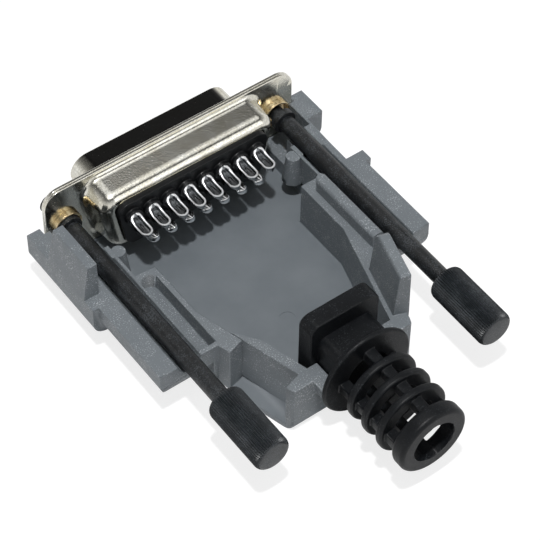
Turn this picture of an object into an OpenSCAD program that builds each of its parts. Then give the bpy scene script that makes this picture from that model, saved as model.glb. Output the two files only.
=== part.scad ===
// D-sub backshell half with a 15-way solder-cup socket, two captive thumbscrews and a rubber cable boot.
// Millimetres. X runs across the connector, +Y is the mating direction, Z is up.
// z = 0 is the parting plane (connector and screw axes); y = 0 is the rear face of the mounting flange.

/* [Sub-part] */
// Sub-part that is drawn

/* [Connector] */
// Pitch of the contacts along a row
pitch = 2.77; // [2.5:0.01:3.0]
// Distance between the two contact rows
row_gap = 2.84; // [2.6:0.01:3.1]
// Contacts in the upper (long) row
upper_count = 8; // [5:1:8]
// From a screw axis to the end of the mounting flange
flange_edge = 2.91; // [2.7:0.01:3.2]
// Height of the mounting flange
flange_h = 12.5; // [12:0.1:13]
// Corner radius of the mounting flange
flange_r = 2.5; // [1:0.1:3]
// Thickness of one flange sheet (there are two)
sheet = 0.4; // [0.3:0.05:0.5]
// Distance between the two screw axes
screw_span = 33.32; // [33:0.01:34]
// Width of the front D shell
d_front_w = 24.66; // [24.4:0.01:25]
// Height of the front D shell
d_front_h = 7.9; // [7.6:0.05:8.4]
// Length of the front D shell ahead of the flange
d_front_len = 4.6; // [4.2:0.1:6.5]
// Width of the rear box
d_rear_w = 27.5; // [27:0.1:28.5]
// Height of the rear box
d_rear_h = 10.7; // [10.2:0.1:11.2]
// Depth of the rear box behind the flange
d_rear_len = 4.5; // [4:0.1:5.5]
// Slope of the D ends
d_angle = 10; // [8:0.5:12]
// How far the upper cups reach behind the flange
cup_end = 9.1; // [8:0.1:10]
// How far the lower cups reach behind the flange
lower_cup_end = 8.6; // [7.8:0.1:9.6]
// Radius of a cup's tip, seen from above
cup_tip_r = 0.95; // [0.9:0.05:1.4]
// Outer diameter of a solder cup
cup_d = 1.75; // [1.5:0.05:2]
// Inner diameter of a solder cup
cup_bore = 1.25; // [1:0.05:1.4]

/* [Hood half] */
// From a screw axis to the outer side of the front wing
wing_front_out = 5.3; // [4.6:0.1:6]
// How far the rear wing steps in from the front wing
wing_step = 0.9; // [0.4:0.1:1.4]
// How far the front edge stands ahead of the flange's rear face
front_edge = 1.0; // [0.8:0.1:1.6]
// End of the front wings behind the flange
wing_front_end = 14.3; // [13.5:0.1:15]
// End of the rear wings behind the flange
wing_rear_end = 27.7; // [26:0.1:29]
// Depth of the wings below the parting plane
wing_depth = 5.0; // [4.6:0.1:5.6]
// Depth of the belly below the parting plane
belly_depth = 8.3; // [7.8:0.1:9]
// Thickness of the floor
floor_t = 1.2; // [1:0.1:1.6]
// From a screw axis to the inner side of the wire space
wire_wall = 5.15; // [4.8:0.05:6]
// From a screw axis to the inner side of the connector space
connector_wall = 2.15; // [2:0.05:2.7]
// Rear face of the rear wall
rear_wall_end = 39.0; // [38:0.1:40]
// Front face of the rear wall
rear_wall_front = 37.0; // [36.5:0.1:37.4]
// Radius of the collar round the boot neck
collar_r = 6.3; // [6:0.1:6.8]
// End of that collar
collar_end = 40.9; // [40.2:0.1:41.5]
// Angle of the tapering side walls
taper = 16; // [12:1:18]
// Distance from the flange to the ejector pin mark
ejector_y = 25; // [16:0.5:30]
// Diameter of the ejector pin mark
ejector_d = 2.2; // [1:0.1:4]

/* [Interlocks] */
// Height of the tall block above the parting plane
block_h = 5.8; // [4:0.1:6.2]
// Height of the rear tab above the parting plane
tab_h = 7.0; // [5:0.1:7.2]
// Thickness of the rear tab
tab_t = 1.9; // [1.4:0.1:2.1]
// Thickness of the wall left standing behind the tab recess
skin_t = 1.35; // [0.8:0.05:1.6]
// Height of the side rib above the parting plane
rib_h = 2.1; // [1:0.1:2.4]
// Clearance between an interlock and its pocket
lock_gap = 0.2; // [0.1:0.05:0.4]

/* [Thumbscrews] */
// Diameter of the shank
shank_d = 2.4; // [2.2:0.05:2.7]
// Major diameter of the thread
thread_d = 2.84; // [2.7:0.01:2.9]
// Length of the thread
thread_len = 2.2; // [1.8:0.1:2.2]
// How far the thread's tip stands ahead of the flange's rear face, screw home
tip_y = 4.5; // [3.6:0.1:7]
// Diameter of the head
head_d = 5.0; // [4.6:0.1:5.6]
// Length of the head
head_len = 10.2; // [8:0.1:12]
// Where the head starts behind the flange, screw pushed home
head_start = 34.9; // [33:0.1:37]
// How far the right screw is drawn back
right_back = 1.2; // [0:0.1:2]
// Diameter of the retaining ring
ring_d = 3.3; // [3.2:0.05:3.6]
// Thickness of the retaining ring
ring_t = 1.0; // [0.6:0.1:1.2]

/* [Cable boot] */
// Width of the square plate
plate_w = 10.4; // [9.6:0.1:11]
// Height of the square plate
plate_h = 14.0; // [12:0.1:14.2]
// Thickness of the plate
plate_t = 2.5; // [1.6:0.1:2.6]
// Width of the neck
neck_w = 8.1; // [7.4:0.1:9]
// Height of the neck
neck_h = 8.6; // [7.8:0.1:9]
// Radius of the outer disc
disc_r = 6.6; // [6:0.1:7]
// Thickness of the outer disc
disc_t = 0.7; // [0.5:0.1:1.4]
// Radius of the ring ribs
rib_r = 5.1; // [4.8:0.1:5.6]
// Thickness of a ring rib
rib_t = 1.1; // [0.8:0.1:1.4]
// Pitch of the ring ribs
rib_pitch = 2.8; // [2.4:0.05:3.2]
// Distance from the disc to the first ring rib
rib_first = 2.2; // [1.6:0.1:2.6]
// Number of ring ribs
rib_count = 3; // [1:1:4]
// Length of the end ring
end_len = 2.2; // [2:0.1:4]
// Width of the four webs between the ribs
web_w = 1.5; // [1:0.1:2]
// Radius over those webs
web_r = 4.4; // [4:0.1:4.6]
// Diameter of the cable bore
bore_d = 6.1; // [5:0.1:6.6]

/* [Hidden] */
eps = 0.01;
far = 100;
$fn = 64;
sx = screw_span / 2;
flange_t = 2 * sheet;
flange_w = screw_span + 2 * flange_edge;
wing_front_half = sx + wing_front_out;
wing_rear_half = wing_front_half - wing_step;
cavity_half = sx - wire_wall;
front_cavity_half = sx - connector_wall;
front_cavity_end = 12.8;
pocket_out = sx + 2.45;
block_in = sx + 2.94;
block_front = 3.9;
block_end = 12.3;
post_x = sx - 2.75;
post_r = 1.5;
post_h = 4.4;
post_y = 7.95;
belly_front_half = sx - 1.06;
belly_rear_half = sx - 3.66;
hole_d = thread_d + 0.22;
eyelet_in = thread_d + 0.2;
eyelet_out = eyelet_in + 0.7;
cup_in = ring_d + 0.2;
cup_out = cup_in + 0.6;
cup_deep = 0.8;
seat_gap = 0.1;
lower_count = upper_count - 1;
row_z = row_gap / 2;
opening_w = 23.6;
opening_h = 8.0;
body_back = 5.2;
trough_r = shank_d / 2 + 0.5;
trough_neck_r = shank_d / 2 + 0.25;
trough_neck_end = 8.5;
pocket_back = 4.6;
groove_d = 2.1;
ring_bore_d = groove_d + 0.1;
wire_floor = belly_depth - floor_t;
shelf_z = 4.6;
plate_front = rear_wall_front - plate_t - 0.05;
disc_front = collar_end + 0.1;
slot_in = cavity_half + 0.8;
slot_out = sx - trough_r - 0.26;
slot_depth = rib_h + 0.3;
slot_front = 13.4;
slot_back = 27.0;

// ---------- helpers ----------

// rectangle with rounded corners, centred
module round_rect(w, h, r) {
  square([w - 2 * r, h], center = true);
  square([w, h - 2 * r], center = true);
  for (x = [-1, 1], y = [-1, 1]) translate([x * (w / 2 - r), y * (h / 2 - r)]) circle(r);
}

// corner circles of a rounded D, wide side up, h high and w wide between its upper corners
module d_corners(w, h, r) {
  z = h / 2 - r;
  top = w / 2 - r;
  bottom = top - 2 * z * tan(d_angle);
  for (s = [-1, 1]) {
    translate([s * top, z]) circle(r);
    translate([s * bottom, -z]) circle(r);
  }
}

module d_shape(w, h, r) { hull() d_corners(w, h, r, $fn = 64); }

// straight extrusion along -Y from y = from to y = to, profile drawn as X,Z
module along_y(from, to) {
  translate([0, from, 0]) rotate([90, 0, 0]) linear_extrude(from - to) children();
}

// solid of revolution about a line parallel to Y, profile as [r, y]
module turned(x, z = 0) {
  translate([x, 0, z]) rotate([-90, 0, 0]) rotate_extrude() children();
}

// lower half profile: half width w, depth d, lower corner radius r
module tub(w, d, r) {
  translate([-w, -(d - r)]) square([2 * w, d - r]);
  translate([-(w - r), -d]) square([2 * (w - r), d]);
  for (s = [-1, 1]) translate([s * (w - r), -(d - r)]) circle(r);
}

// ---------- hood half ----------

// half width of the tapering part at distance y behind the flange
function taper_x(x0, y0, y) = x0 - (y - y0) * tan(taper);

outer_x0 = cavity_half + 0.9;
recess_x0 = cavity_half - 2.05;
recess_y0 = 28.8;
recess_len = 8.6;
inner_y0 = 21.9;
tab_x0 = cavity_half - 1.42;
tab_y0 = 29.0;
tab_len = 8.1;

module plan_outer_taper() {
  polygon([
    [-outer_x0, -wing_rear_end + 1], [outer_x0, -wing_rear_end + 1],
    [outer_x0, -wing_rear_end],
    [taper_x(outer_x0, wing_rear_end, 38.2), -38.2],
    [taper_x(outer_x0, wing_rear_end, 38.2) - 0.35, -rear_wall_end],
    [-taper_x(outer_x0, wing_rear_end, 38.2) + 0.35, -rear_wall_end],
    [-taper_x(outer_x0, wing_rear_end, 38.2), -38.2],
    [-outer_x0, -wing_rear_end]]);
}

module wings() {
  intersection() {
    along_y(front_edge, -wing_front_end) tub(wing_front_half, wing_depth, 2);
    translate([-far / 2, -far / 2, -far]) cube(far);
  }
  intersection() {
    along_y(-wing_front_end + 1, -wing_rear_end) tub(wing_rear_half, wing_depth, 3.3);
    rotate([90, 0, 90]) translate([0, 0, -40]) linear_extrude(80) union() {
      translate([-wing_rear_end, -(wing_depth - 2.4)]) square([wing_rear_end, wing_depth - 2.4]);
      translate([-wing_rear_end + 2.4, -wing_depth]) square([wing_rear_end - 2.4, wing_depth]);
      translate([-wing_rear_end + 2.4, -(wing_depth - 2.4)]) circle(2.4);
    }
  }
}

module belly() {
  along_y(front_edge, -wing_front_end) tub(belly_front_half, belly_depth, 2.2);
  along_y(-wing_front_end + 0.5, -wing_rear_end) tub(belly_rear_half, belly_depth, 2.6);
  intersection() {
    translate([0, 0, -belly_depth]) linear_extrude(belly_depth) plan_outer_taper();
    along_y(-wing_rear_end + 1, -rear_wall_end) tub(belly_rear_half, belly_depth, 2.6);
    rotate([90, 0, 90]) translate([0, 0, -40]) linear_extrude(80) union() {
      translate([-rear_wall_end, -(belly_depth - 1.5)]) square([rear_wall_end, belly_depth - 1.5]);
      translate([-rear_wall_end + 1.5, -belly_depth]) square([rear_wall_end, belly_depth]);
      translate([-rear_wall_end + 1.5, -(belly_depth - 1.5)]) circle(1.5);
    }
  }
  intersection() {
    along_y(-rear_wall_end + 1, -collar_end) circle(collar_r);
    translate([-far / 2, -far, -far]) cube(far);
  }
}

// cavity for the wires, with the wider connector space in front
module cavity() {
  translate([-cavity_half, -inner_y0 - eps, -wire_floor]) cube([2 * cavity_half, 20, 20]);
  translate([0, 0, -wire_floor]) linear_extrude(20)
    polygon([[-cavity_half, -inner_y0], [cavity_half, -inner_y0],
      [taper_x(cavity_half, inner_y0, rear_wall_front), -rear_wall_front],
      [-taper_x(cavity_half, inner_y0, rear_wall_front), -rear_wall_front]]);
  // connector space
  translate([-front_cavity_half, -front_cavity_end, -wire_floor])
    cube([2 * front_cavity_half, front_cavity_end, 20]);
}

module flange_slot() {
  translate([-flange_w / 2 - 0.4, 0, -flange_h / 2 - 0.15])
    cube([flange_w + 0.8, flange_t + seat_gap, 20]);
  translate([-flange_w / 2 - 0.4, flange_t, -flange_h / 2 + 0.9])
    cube([flange_w + 0.8, 5, 20]);
}

module ring_pocket(s) {
  w = pocket_out - front_cavity_half;
  translate([s * (front_cavity_half + w / 2), -pocket_back / 2, 10 - shelf_z])
    cube([w + 2 * eps, pocket_back, 20], center = true);
  // room beside the post
  translate([s * (front_cavity_half + 0.4), -front_cavity_end / 4, 10 - shelf_z])
    cube([0.8 + 2 * eps, front_cavity_end / 2, 20], center = true);
}

// trough for a thumbscrew, with a narrower neck that stops the retaining ring
module trough(s) {
  translate([s * sx, 0, 0]) {
    translate([0, -trough_neck_end, 0]) rotate([90, 0, 0]) cylinder(r = trough_r, h = 40);
    translate([-trough_r, -trough_neck_end - 40, 0]) cube([2 * trough_r, 40, 10]);
    translate([0, 10, 0]) rotate([90, 0, 0]) cylinder(r = trough_neck_r, h = 20);
    translate([-trough_neck_r, -20, 0]) cube([2 * trough_neck_r, 30, 10]);
  }
}

module post(s) {
  translate([s * post_x, -post_y, -post_h]) cylinder(r1 = post_r, r2 = post_r - 0.55, h = post_h - 0.1);
}

// tall block on the left, leaning in on its outer side and at its far end
module tall_block() {
  w = wing_front_half - block_in;
  translate([-wing_front_half, 0, 0]) intersection() {
    along_y(0, -block_end - 1)
      polygon([[0, -1], [0, 0], [0.9, block_h], [w - 0.05, block_h], [w, 0], [w, -1]]);
    rotate([90, 0, 90]) linear_extrude(w)
      polygon([[-block_end, -1], [-block_front, -1], [-block_front, 0],
        [-block_front - 0.6, block_h], [-block_end, block_h]]);
  }
}

module tall_block_pocket() {
  translate([block_in - lock_gap - 0.1, -block_end - lock_gap, -far / 2])
    cube([far, block_end - block_front + 2 * lock_gap, far]);
}

// rear tab on the right, standing on the tapering wall
module tab_frame() {
  translate([tab_x0, -tab_y0, 0]) rotate([0, 0, -taper]) children();
}

module rear_tab() {
  // local: x outward across the wall, -y along the wall
  t = tab_t + 0.3;
  tab_frame() intersection() {
    along_y(0, -tab_len) polygon([[0, -1], [0, 0], [0.5, tab_h - 0.5], [0.8, tab_h],
      [t - 0.05, tab_h], [t, 0], [t, -1]]);
    rotate([90, 0, 90]) linear_extrude(t)
      polygon([[-tab_len, -1], [0, -1], [0, 0], [-0.15, tab_h - 0.9], [-0.4, tab_h - 0.3],
        [-0.95, tab_h], [-tab_len + 0.2, tab_h], [-tab_len, 0]]);
  }
}

// matching recess on the left
module tab_recess() {
  mirror([1, 0, 0]) translate([recess_x0, -recess_y0, -tab_h - 2 * lock_gap])
    rotate([0, 0, -taper]) translate([0, -recess_len, 0]) cube([6, recess_len, far]);
}

// wall left standing inside that recess
module recess_skin() {
  mirror([1, 0, 0]) translate([recess_x0, -recess_y0, -wire_floor - 0.3]) rotate([0, 0, -taper])
    linear_extrude(wire_floor + 0.3)
      polygon([[0, 1.9], [-skin_t, -1.5], [-skin_t, -recess_len - 0.3], [0, -recess_len - 0.3]]);
}

module side_rib() {
  // right rib with a rounded top
  translate([0, 0, 0]) intersection() {
    along_y(-slot_front - 0.6, -slot_back + 0.5) union() {
      translate([slot_in + 0.3, -1]) square([1.7, 1 + rib_h - 0.5]);
      translate([slot_in + 0.8, -1]) square([0.7, 1 + rib_h]);
      for (x = [0.8, 1.5]) translate([slot_in + x, rib_h - 0.5]) circle(0.5);
    }
    linear_extrude(6, center = true) union() {
      translate([slot_in + 0.3, -slot_back + 0.5]) square([1.7, slot_back - slot_front - 2]);
      translate([slot_in + 1.15, -slot_front - 1.45]) circle(0.85);
    }
  }
}

module side_slot() {
  translate([0, 0, -slot_depth]) linear_extrude(10) {
    translate([-slot_out, -slot_back]) square([slot_out - slot_in, slot_back - slot_front - 1.2]);
    translate([-(slot_out + slot_in) / 2, -slot_front - (slot_out - slot_in) / 2])
      circle((slot_out - slot_in) / 2);
  }
}

module neck_opening() {
  along_y(-rear_wall_front + 1, -collar_end - 1) union() {
    round_rect(neck_w + 2 * seat_gap, neck_h + 2 * seat_gap, 1.2 + seat_gap);
    translate([-(neck_w / 2 + seat_gap), 0]) square([neck_w + 2 * seat_gap, 20]);
  }
}

module half_shell() {
  color([0.42, 0.45, 0.47]) {
    difference() {
      union() {
        wings();
        belly();
      }
      cavity();
      flange_slot();
      for (s = [-1, 1]) {
        ring_pocket(s);
        trough(s);
      }
      side_slot();
      tall_block_pocket();
      tab_recess();
      neck_opening();
      // shallow round mark that an ejector pin leaves on the floor
      translate([0.4, -ejector_y, -wire_floor - 0.06]) cylinder(d = ejector_d, h = 5);
    }
    tall_block();
    rear_tab();
    recess_skin();
    side_rib();
    for (s = [-1, 1]) post(s);
  }
}

// ---------- connector ----------

module d_tube_profile(grow, r) { d_shape(d_front_w + 2 * grow, d_front_h + 2 * grow, r + grow); }

front_r = 2.6;

module hole_pair(d) {
  for (s = [-1, 1]) translate([s * sx, 0]) circle(d = d);
}

module front_shell() {
  color([0.80, 0.79, 0.72]) difference() {
    union() {
      along_y(flange_t, sheet) round_rect(flange_w, flange_h, flange_r);
      along_y(flange_t + d_front_len, sheet) d_tube_profile(0, front_r);
    }
    along_y(20, -1) d_tube_profile(-sheet, front_r);
    along_y(3, -1) hole_pair(eyelet_out + 0.1);
  }
}

box_r = 2.4;
box_edge = 1.0;

module box_corners(g) { d_corners(d_rear_w + 2 * g, d_rear_h + 2 * g, box_r + g, $fn = 32); }

// drawn box, grown by g, from y = from back to y = -len, with its rear edge rounded to radius e
module drawn_box(g, from, len, e) {
  hull() {
    for (a = [0 : 15 : 90])
      along_y(from, -len + e * (1 - sin(a))) box_corners(g - e * (1 - cos(a)));
  }
}

module rear_shell() {
  color([0.80, 0.79, 0.72]) difference() {
    union() {
      along_y(sheet, 0) round_rect(flange_w, flange_h, flange_r);
      drawn_box(0, sheet, d_rear_len, box_edge);
    }
    drawn_box(-sheet, 2, d_rear_len - sheet, box_edge - sheet);
    along_y(2, -20) d_shape(opening_w, opening_h, 1.6);
    along_y(3, -1) hole_pair(eyelet_out + 0.1);
  }
}

function upper_x(k) = (k - (upper_count - 1) / 2) * pitch;
function lower_x(k) = (k - (lower_count - 1) / 2) * pitch;

module contact_places(n_from = 0) {
  for (k = [0 : upper_count - 1]) translate([upper_x(k), 0, row_z]) children();
  for (k = [0 : lower_count - 1]) translate([lower_x(k), 0, -row_z]) children();
}

front_ins_front = flange_t + d_front_len - 0.3;
split_y = 0.2;
socket_d = 1.8;
pin_d = 1.5;
shank_hole = pin_d + 0.1;
collar_d = 2.5;
collar_h = 0.6;

module front_insulator() {
  color([0.05, 0.05, 0.055]) difference() {
    union() {
      along_y(front_ins_front, split_y) d_tube_profile(-sheet - 0.05, front_r);
      along_y(sheet - 0.02, split_y - 1.2) hull() box_corners(-sheet - 0.05);
    }
    contact_places() along_y(20, -20) circle(d = socket_d + 0.1);
  }
}

module rear_insulator() {
  color([0.05, 0.05, 0.055]) difference() {
    union() {
      drawn_box(-sheet - 0.05, split_y - 1.25, d_rear_len - sheet - 0.05, box_edge - sheet);
      along_y(-2, -body_back) d_shape(opening_w - 0.2, opening_h - 0.2, 1.5);
      // collars round the cups
      contact_places() along_y(-3, -body_back - collar_h) circle(d = collar_d);
    }
    contact_places() along_y(20, -20) circle(d = shank_hole);
    contact_places() along_y(-body_back, -20) circle(d = cup_d + 0.1);
  }
}

module contact(up) {
  // front socket, middle shank and rear solder cup; the cup is open on its outer side
  tip = up ? cup_end : lower_cup_end;
  color([0.86, 0.87, 0.88]) {
    difference() {
      union() {
        along_y(front_ins_front - 0.5, split_y - 1.1) circle(d = socket_d);
        along_y(0, -body_back - 0.2) circle(d = pin_d);
        along_y(-body_back, -tip) circle(d = cup_d);
      }
      along_y(20, 1.2) circle(d = 1.1);
      along_y(-body_back - 0.5, -30) circle(d = cup_bore);
      // slanting cut that opens the cup
      rotate([0, up ? 0 : 180, 0])
        rotate([90, 0, 90]) translate([0, 0, -3]) linear_extrude(6)
          polygon([[-5.45, 0.95], [-6.1, 0.3], [-6.8, 0], [-20, 0], [-20, 3], [-5.45, 3]]);
      // rounds the tip of the cup
      translate([0, -tip, -2]) linear_extrude(4) difference() {
        translate([-2, -1]) square([4, 1 + 0.9 * cup_tip_r]);
        translate([0, cup_tip_r]) circle(cup_tip_r);
      }
    }
  }
}

module contact_n(n) {
  if (n <= upper_count) translate([upper_x(n - 1), 0, row_z]) contact(true);
  else translate([lower_x(n - upper_count - 1), 0, -row_z]) contact(false);
}

module eyelet(s) {
  // shallow cup behind the flange, barrel through it, flared rim in front
  color([0.78, 0.70, 0.48]) turned(s * sx) difference() {
    union() {
      translate([0, -cup_deep]) square([cup_out / 2, cup_deep]);
      square([eyelet_out / 2, flange_t + 0.25]);
      translate([0, flange_t]) square([cup_out / 2 - 0.1, 0.25]);
    }
    translate([-1, -5]) square([eyelet_in / 2 + 1, 10]);
    translate([-1, -5]) square([cup_in / 2 + 1, 5 - 0.15]);
  }
}

// ---------- thumbscrews ----------

function back(s) = s > 0 ? right_back : 0;
ring_front = 0.35;

module screw_shank(s) {
  y0 = -ring_front - back(s);
  tip = tip_y - back(s);
  color([0.09, 0.09, 0.10]) turned(s * sx) union() {
    // thread, neck with the ring's groove, long shank
    translate([0, tip - thread_len]) square([thread_d / 2, thread_len - 0.35]);
    polygon([[0, tip - 0.35], [thread_d / 2, tip - 0.35], [thread_d / 2 - 0.35, tip], [0, tip]]);
    translate([0, y0 - ring_t - 0.15]) square([groove_d / 2, tip - thread_len - y0 + ring_t + 0.25]);
    translate([0, -head_start - back(s) - 5])
      square([shank_d / 2, head_start + 5 + back(s) + y0 - ring_t - 0.05]);
  }
}

module retaining_ring(s) {
  y0 = -ring_front - back(s);
  color([0.07, 0.07, 0.08]) turned(s * sx) difference() {
    translate([0, y0 - ring_t]) square([ring_d / 2, ring_t]);
    translate([-1, -50]) square([1 + groove_d / 2 + 0.05, 60]);
  }
}

module knurled_head(s) {
  y1 = -head_start - back(s);
  color([0.09, 0.09, 0.10]) turned(s * sx) difference() {
    polygon([[0, y1], [head_d / 2 - 0.5, y1], [head_d / 2 - 0.15, y1 - 0.2], [head_d / 2, y1 - 0.6],
      [head_d / 2, y1 - head_len + 0.3], [head_d / 2 - 0.3, y1 - head_len], [0, y1 - head_len]]);
    translate([-1, y1 - 5]) square([1 + shank_d / 2, 10]);
  }
}

// ---------- boot ----------

ribs_front = disc_front + disc_t + rib_first;
end_front = ribs_front + rib_count * rib_pitch + 0.1;

// ring with rounded rims, r outside, from y back over len
module rib_ring(y, len, r, e) {
  turned(0) {
    translate([0, -y - len + e]) square([r, len - 2 * e]);
    translate([0, -y - len]) square([r - e, len]);
    for (q = [-y - e, -y - len + e]) translate([r - e, q]) circle(e);
  }
}

module cable_boot() {
  color([0.10, 0.11, 0.12]) difference() {
    union() {
      along_y(-plate_front, -plate_front - plate_t) round_rect(plate_w, plate_h, 1.4);
      along_y(-plate_front - 1, -disc_front - disc_t / 2) round_rect(neck_w, neck_h, 1.2);
      rib_ring(disc_front, disc_t, disc_r, 0.32);
      for (k = [0 : rib_count - 1]) rib_ring(ribs_front + k * rib_pitch, rib_t, rib_r, 0.35);
      rib_ring(end_front, end_len, rib_r - 0.1, 0.6);
      // webs that join the ribs
      along_y(-disc_front - disc_t / 2, -end_front - 0.5) intersection() {
        circle(web_r);
        union() {
          square([web_w, 2 * web_r + 1], center = true);
          square([2 * web_r + 1, web_w], center = true);
        }
      }
    }
    along_y(-plate_front + 1, -end_front - end_len - 1) circle(d = bore_d);
  }
}

half_shell();
cable_boot();
front_shell();
rear_shell();
front_insulator();
rear_insulator();
eyelet(-1);  // eyelet_left
eyelet(1);  // eyelet_right
contact_n(1);  // contact_01
contact_n(2);  // contact_02
contact_n(3);  // contact_03
contact_n(4);  // contact_04
contact_n(5);  // contact_05
contact_n(6);  // contact_06
contact_n(7);  // contact_07
contact_n(8);  // contact_08
contact_n(9);  // contact_09
contact_n(10);  // contact_10
contact_n(11);  // contact_11
contact_n(12);  // contact_12
contact_n(13);  // contact_13
contact_n(14);  // contact_14
contact_n(15);  // contact_15
retaining_ring(-1);  // retaining_ring_left
retaining_ring(1);  // retaining_ring_right
screw_shank(-1);  // screw_shank_left
screw_shank(1);  // screw_shank_right
knurled_head(-1);  // knurled_head_left
knurled_head(1);  // knurled_head_right
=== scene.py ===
# %% [markdown]
# # A cable hood for a 15-way connector, dressed in Blender
# The object is one moulded half of a cable hood, lying open. In it sit a sheet-metal connector with
# solder cups, two thumbscrews and a ribbed rubber boot. The solid model is the fixed frame: every piece
# here is placed from its nodes, and every piece rides on one of its bodies.

# %% Load the frame
import bpy
import bmesh
import math
from mathutils import Matrix, Vector


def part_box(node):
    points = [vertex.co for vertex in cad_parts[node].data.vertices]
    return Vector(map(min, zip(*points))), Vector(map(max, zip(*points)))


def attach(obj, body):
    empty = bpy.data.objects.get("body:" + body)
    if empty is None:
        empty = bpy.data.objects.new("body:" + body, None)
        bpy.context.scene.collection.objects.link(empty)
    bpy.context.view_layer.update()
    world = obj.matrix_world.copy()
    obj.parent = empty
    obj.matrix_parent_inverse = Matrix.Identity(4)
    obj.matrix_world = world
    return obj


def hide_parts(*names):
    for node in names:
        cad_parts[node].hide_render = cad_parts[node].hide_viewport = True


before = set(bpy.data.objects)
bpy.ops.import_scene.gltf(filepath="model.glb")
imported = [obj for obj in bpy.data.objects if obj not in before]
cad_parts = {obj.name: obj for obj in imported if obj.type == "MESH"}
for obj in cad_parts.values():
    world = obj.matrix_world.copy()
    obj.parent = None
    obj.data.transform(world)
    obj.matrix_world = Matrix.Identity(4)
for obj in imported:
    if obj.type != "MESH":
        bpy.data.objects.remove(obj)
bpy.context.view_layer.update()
MM = 0.001
print("nodes:", len(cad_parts))

# %% Sizes that several pieces share
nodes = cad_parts
hood_low, hood_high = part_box("half_shell")
floor_z = hood_low.z
screw_x = {}
for side_name in ("left", "right"):
    low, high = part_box("screw_shank_" + side_name)
    screw_x[side_name] = (low.x + high.x) / 2
print("floor at", round(floor_z / MM, 2), "mm; screws at",
      {k: round(v / MM, 2) for k, v in screw_x.items()}, "mm")

# %% [markdown]
# ## Camera
# A long lens about 28 cm away looks down at 50 degrees from behind the left screw, so that the open
# tray, the cups and the mouth of the boot all show. The camera could be aimed by a constraint, but its
# matrix is written out instead, because a small roll belongs to it. A small shift frames the object.

# %% Camera
CAM_AZIMUTH, CAM_ELEVATION, CAM_ROLL = -36.73, 50.44, 0.59
CAM_DISTANCE = 279.7 * MM
CAM_TARGET = Vector((0.05 * MM, -20.0 * MM, 0.0))
cam_data = bpy.data.cameras.new("camera")
camera = bpy.data.objects.new("camera", cam_data)
bpy.context.scene.collection.objects.link(camera)
azimuth, elevation, roll = (math.radians(a) for a in (CAM_AZIMUTH, CAM_ELEVATION, CAM_ROLL))
back = Vector((math.sin(azimuth) * math.cos(elevation), -math.cos(azimuth) * math.cos(elevation),
               math.sin(elevation)))
right = Vector((math.cos(azimuth), math.sin(azimuth), 0.0))
up = back.cross(right)
side = math.cos(roll) * right + math.sin(roll) * up
top = -math.sin(roll) * right + math.cos(roll) * up
place = CAM_TARGET + CAM_DISTANCE * back
camera.matrix_world = Matrix(((side.x, top.x, back.x, place.x), (side.y, top.y, back.y, place.y),
                              (side.z, top.z, back.z, place.z), (0, 0, 0, 1)))
cam_data.sensor_width = 36
cam_data.lens = 147.0
cam_data.shift_x = 0.0137
cam_data.shift_y = -0.0183
cam_data.clip_start = 0.01
bpy.context.scene.camera = camera
print("camera", round((place - CAM_TARGET).length / MM), "mm away")

# %% [markdown]
# ## Floor, lamps and world
# The object stands on a plain white floor, as in a product studio. The floor is bright for the camera
# by its own emission, so that no extra light falls on the object, and its base colour still takes the
# shadows. One compact lamp almost overhead draws the crisp shadows of the cups on the tray, a large
# soft lamp above fills them, and a lower soft lamp at the boot's end, to the right, lights the faces
# that are turned that way. Lamps alone leave polished metal black, since it needs something to reflect,
# so mirrors see a world in bands: white near the horizon, dark from about 20 to 55 degrees up, and
# white again overhead.


# %% Material helpers
def new_material(name):
    """A material with its Principled shader, and the node and link helpers that build it."""
    mat = bpy.data.materials.new(name)
    mat.use_nodes = True
    tree = mat.node_tree
    return mat, tree, tree.nodes["Principled BSDF"]


def add(tree, kind, **values):
    """A node in a tree, with its settings (by name) and its input values (by socket name)."""
    node = tree.nodes.new(kind)
    for key, value in values.items():
        if key in node.inputs:
            node.inputs[key].default_value = value
        else:
            setattr(node, key, value)
    return node


# %% Floor
FLOOR_GAP = 0.02 * MM
bpy.ops.mesh.primitive_plane_add(size=3.0, location=(0, 0, floor_z - FLOOR_GAP))
floor = bpy.context.object
floor.name = "floor"
mat, tree, shader = new_material("floor_white")
shader.inputs["Roughness"].default_value = 0.9
shader.inputs["Specular IOR Level"].default_value = 0.0
shader.inputs["Emission Strength"].default_value = 1.0
light_path = add(tree, "ShaderNodeLightPath")
for socket, bounced, seen in (("Base Color", 0.93, 0.30), ("Emission Color", 0.0, 0.78)):
    tint = add(tree, "ShaderNodeMixRGB", Color1=(bounced,) * 3 + (1,), Color2=(seen,) * 3 + (1,))
    tree.links.new(light_path.outputs["Is Camera Ray"], tint.inputs["Fac"])
    tree.links.new(tint.outputs["Color"], shader.inputs[socket])
floor.data.materials.append(mat)
print("floor", round((floor_z - FLOOR_GAP) / MM, 2), "mm")


# %% Lamps
def area_lamp(name, aim, distance, azimuth, elevation, size, power):
    """A square soft lamp that looks at a point from an azimuth and elevation."""
    data = bpy.data.lights.new(name, "AREA")
    data.shape = "SQUARE"
    data.size = size
    data.energy = power
    lamp = bpy.data.objects.new(name, data)
    a, e = math.radians(azimuth), math.radians(elevation)
    away = Vector((math.sin(a) * math.cos(e), -math.cos(a) * math.cos(e), math.sin(e)))
    lamp.location = aim + away * distance
    lamp.rotation_euler = away.to_track_quat("Z", "Y").to_euler()
    bpy.context.scene.collection.objects.link(lamp)
    return lamp


AIM = Vector((0, -0.024, 0))
area_lamp("key_lamp", AIM, 0.60, -40, 76, 0.030, 2.50)
area_lamp("soft_box", AIM, 0.50, -20, 80, 0.40, 0.30)
area_lamp("near_fill", AIM, 0.70, 26, 30, 0.40, 0.55)

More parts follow.
